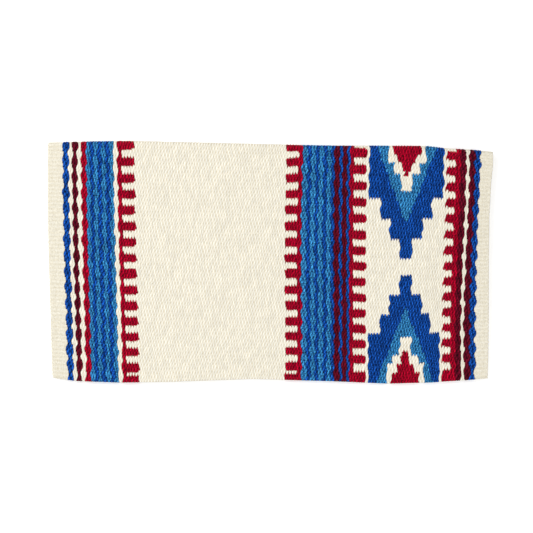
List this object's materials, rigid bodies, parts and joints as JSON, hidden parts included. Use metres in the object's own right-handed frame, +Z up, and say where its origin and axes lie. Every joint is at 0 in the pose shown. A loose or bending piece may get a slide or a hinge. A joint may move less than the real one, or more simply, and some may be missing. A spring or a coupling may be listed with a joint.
{
  "type": "saddle blanket",
  "caption": "Thick wool saddle blanket, folded once, with woven stripes, toothed combs and stepped motifs; it opens flat at the fold.",
  "frame": {"origin": "centre of the folded blanket's footprint, on the surface it lies on", "axes": "+X along the horse's spine, from the left header to the right one; +Y across the blanket, from the hems to the fold; +Z up through its thickness"},
  "size_m": [0.8724, 0.4703, 0.0208],
  "materials": {
    "cream_wool": "undyed cream wool yarn, weft-faced twill",
    "header_wool": "fine undyed cream yarn, plain weave",
    "royal_wool": "royal blue dyed wool yarn, weft-faced twill",
    "light_blue_wool": "light blue dyed wool yarn, weft-faced twill",
    "red_wool": "deep red dyed wool yarn, weft-faced twill",
    "maroon_wool": "maroon dyed wool yarn, weft-faced twill"
  },
  "bodies": {
    "far_flap": {"far_header_left": "header_wool", "far_royal_line_left": "royal_wool", "far_cream_line_outer": "cream_wool", "far_maroon_line_left": "maroon_wool", "far_cream_line_inner": "cream_wool", "far_red_line_left": "red_wool", "far_blue_band_left": "royal_wool", "far_cream_line_front": "cream_wool", "far_comb_1": "red_wool", "far_field": "cream_wool", "far_comb_2": "red_wool", "far_blue_band_right": "royal_wool", "far_striped_band": "maroon_wool", "far_comb_3": "red_wool", "far_panel": "cream_wool", "far_spine_motif_royal": "royal_wool", "far_spine_motif_light_blue": "light_blue_wool", "far_spine_motif_cream": "cream_wool", "far_spine_motif_red": "red_wool", "far_hem_motif_royal": "royal_wool", "far_hem_motif_light_blue": "light_blue_wool", "far_hem_motif_cream": "cream_wool", "far_hem_motif_red": "red_wool", "far_comb_4": "red_wool", "far_maroon_line_right": "maroon_wool", "far_cream_line_right": "cream_wool", "far_edge_lines_right": "maroon_wool", "far_header_right": "header_wool", "fold_rib_lower": "header_wool", "fold_rib_middle": "header_wool"},
    "near_flap": {"near_header_left": "header_wool", "near_royal_line_left": "royal_wool", "near_cream_line_outer": "cream_wool", "near_maroon_line_left": "maroon_wool", "near_cream_line_inner": "cream_wool", "near_red_line_left": "red_wool", "near_blue_band_left": "royal_wool", "near_cream_line_front": "cream_wool", "near_comb_1": "red_wool", "near_field": "cream_wool", "near_comb_2": "red_wool", "near_blue_band_right": "royal_wool", "near_striped_band": "maroon_wool", "near_comb_3": "red_wool", "near_panel": "cream_wool", "near_spine_motif_royal": "royal_wool", "near_spine_motif_light_blue": "light_blue_wool", "near_spine_motif_cream": "cream_wool", "near_spine_motif_red": "red_wool", "near_hem_motif_royal": "royal_wool", "near_hem_motif_light_blue": "light_blue_wool", "near_hem_motif_cream": "cream_wool", "near_hem_motif_red": "red_wool", "near_comb_4": "red_wool", "near_maroon_line_right": "maroon_wool", "near_cream_line_right": "cream_wool", "near_edge_lines_right": "maroon_wool", "near_header_right": "header_wool", "fold_rib_upper": "header_wool"}
  },
  "joints": [
    {"name": "near_flap_turn", "type": "hinge", "parent": "far_flap", "child": "near_flap", "pos_m": [0, 0.23142, 0.01046], "axis": [-1, 0, 0], "range_deg": [0, 179.9]}
  ]
}
